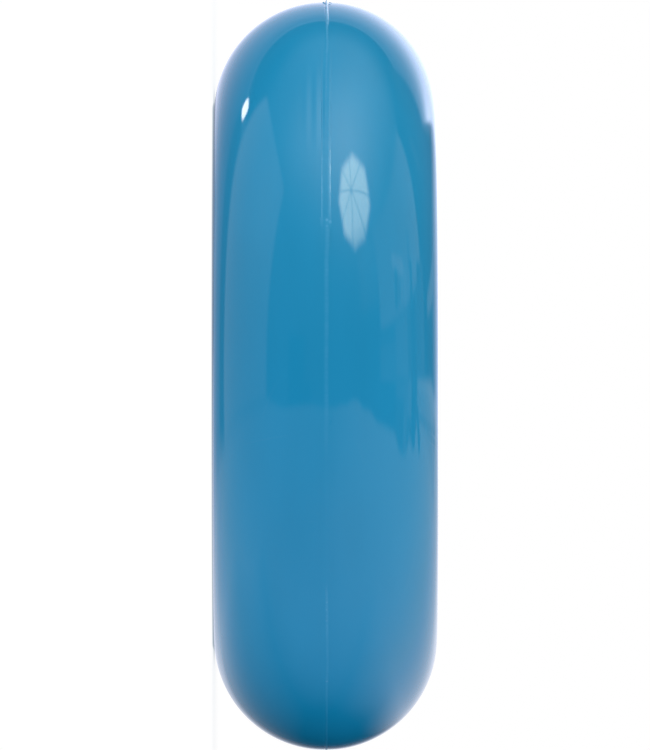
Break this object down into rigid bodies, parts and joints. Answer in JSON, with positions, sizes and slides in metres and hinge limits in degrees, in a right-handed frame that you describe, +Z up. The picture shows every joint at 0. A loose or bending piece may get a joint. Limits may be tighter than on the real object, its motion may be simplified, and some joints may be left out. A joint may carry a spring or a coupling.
{
  "type": "hockey puck",
  "caption": "Round-edged street hockey puck: a glossy vinyl shell in two welded halves, filled with liquid through a plugged port so that it slides flat without bouncing.",
  "frame": {"origin": "middle of the lower flat face, on the surface that the puck lies on", "axes": "+Z up along the axis of the puck, from the lower face to the upper face with the filler plug; X and Y across the puck"},
  "size_m": [0.0762, 0.0762, 0.0226],
  "materials": {
    "shell_vinyl": "glossy moulded blue vinyl",
    "bead_vinyl": "trimmed weld bead of the same vinyl, slightly paler",
    "plug_vinyl": "moulded blue vinyl, semi-gloss",
    "fill_liquid": "clear water and glycol mix"
  },
  "bodies": {
    "shell": {"lower_half_shell": "shell_vinyl", "upper_half_shell": "shell_vinyl", "weld_bead": "bead_vinyl", "filler_plug": "plug_vinyl"},
    "liquid": {"liquid_fill": "fill_liquid"}
  },
  "joints": [
    {"name": "liquid_spin", "type": "hinge", "parent": "shell", "child": "liquid", "pos_m": [0, 0, 0.0113], "axis": [0, 0, 1], "continuous": true}
  ]
}
